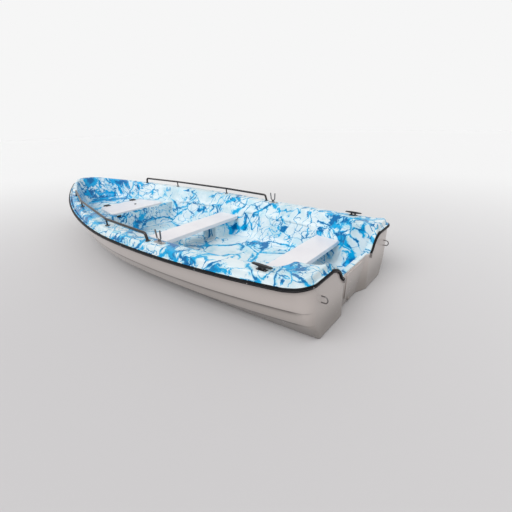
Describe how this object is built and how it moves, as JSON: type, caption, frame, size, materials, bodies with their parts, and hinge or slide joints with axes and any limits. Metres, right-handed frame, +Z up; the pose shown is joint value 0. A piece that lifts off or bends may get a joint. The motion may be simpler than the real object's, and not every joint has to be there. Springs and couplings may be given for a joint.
{
  "type": "open plastic rowing and fishing boat",
  "caption": "Open double-skin plastic boat with lapped strakes, splash-marbled liner, thwarts, hinged bow locker, grab rails and swivelling rowlocks.",
  "frame": {"origin": "centre of the plan bounding box at the flat bottom", "axes": "+X forward to the bow, +Y to port, +Z up"},
  "size_m": [4.2118, 1.699, 0.5674],
  "materials": {
    "hull_gelcoat": "satin gelcoat, warm light grey",
    "liner_gelcoat": "gloss gelcoat, white with blue marbling",
    "white_laminate": "satin white gelcoat",
    "black_pvc": "satin extruded PVC",
    "black_plastic": "matte nylon",
    "stainless": "polished stainless steel"
  },
  "bodies": {
    "boat": {"hull_shell": "hull_gelcoat", "liner": "liner_gelcoat", "rub_rail": "black_pvc", "rub_rail_end_caps": "stainless", "motor_pad": "hull_gelcoat", "drain_plug": "black_plastic", "mid_thwart": "white_laminate", "aft_thwart": "white_laminate", "lid_hinge_bases": "black_plastic", "lid_catch": "black_plastic", "port_grab_rail": "stainless", "starboard_grab_rail": "stainless", "port_rowlock_socket": "stainless", "starboard_rowlock_socket": "stainless", "port_cleat": "black_plastic", "starboard_cleat": "black_plastic", "port_stern_eye": "stainless", "starboard_stern_eye": "stainless", "bow_eye": "stainless"},
    "locker_lid": {"bow_locker_lid": "white_laminate", "lid_hinge_leaves": "black_plastic", "lid_pull": "black_plastic"},
    "port_rowlock": {"port_rowlock": "stainless"},
    "starboard_rowlock": {"starboard_rowlock": "stainless"}
  },
  "joints": [
    {"name": "bow_locker_lid_hinge", "type": "hinge", "parent": "boat", "child": "locker_lid", "pos_m": [1.185, 0, 0.323], "axis": [0, 1, 0], "range_deg": [0, 95]},
    {"name": "port_rowlock_swivel", "type": "hinge", "parent": "boat", "child": "port_rowlock", "pos_m": [-0.758, 0.71351, 0.4336], "axis": [0, 0, 1], "continuous": true},
    {"name": "starboard_rowlock_swivel", "type": "hinge", "parent": "boat", "child": "starboard_rowlock", "pos_m": [-0.758, -0.71351, 0.4336], "axis": [0, 0, 1], "continuous": true}
  ]
}
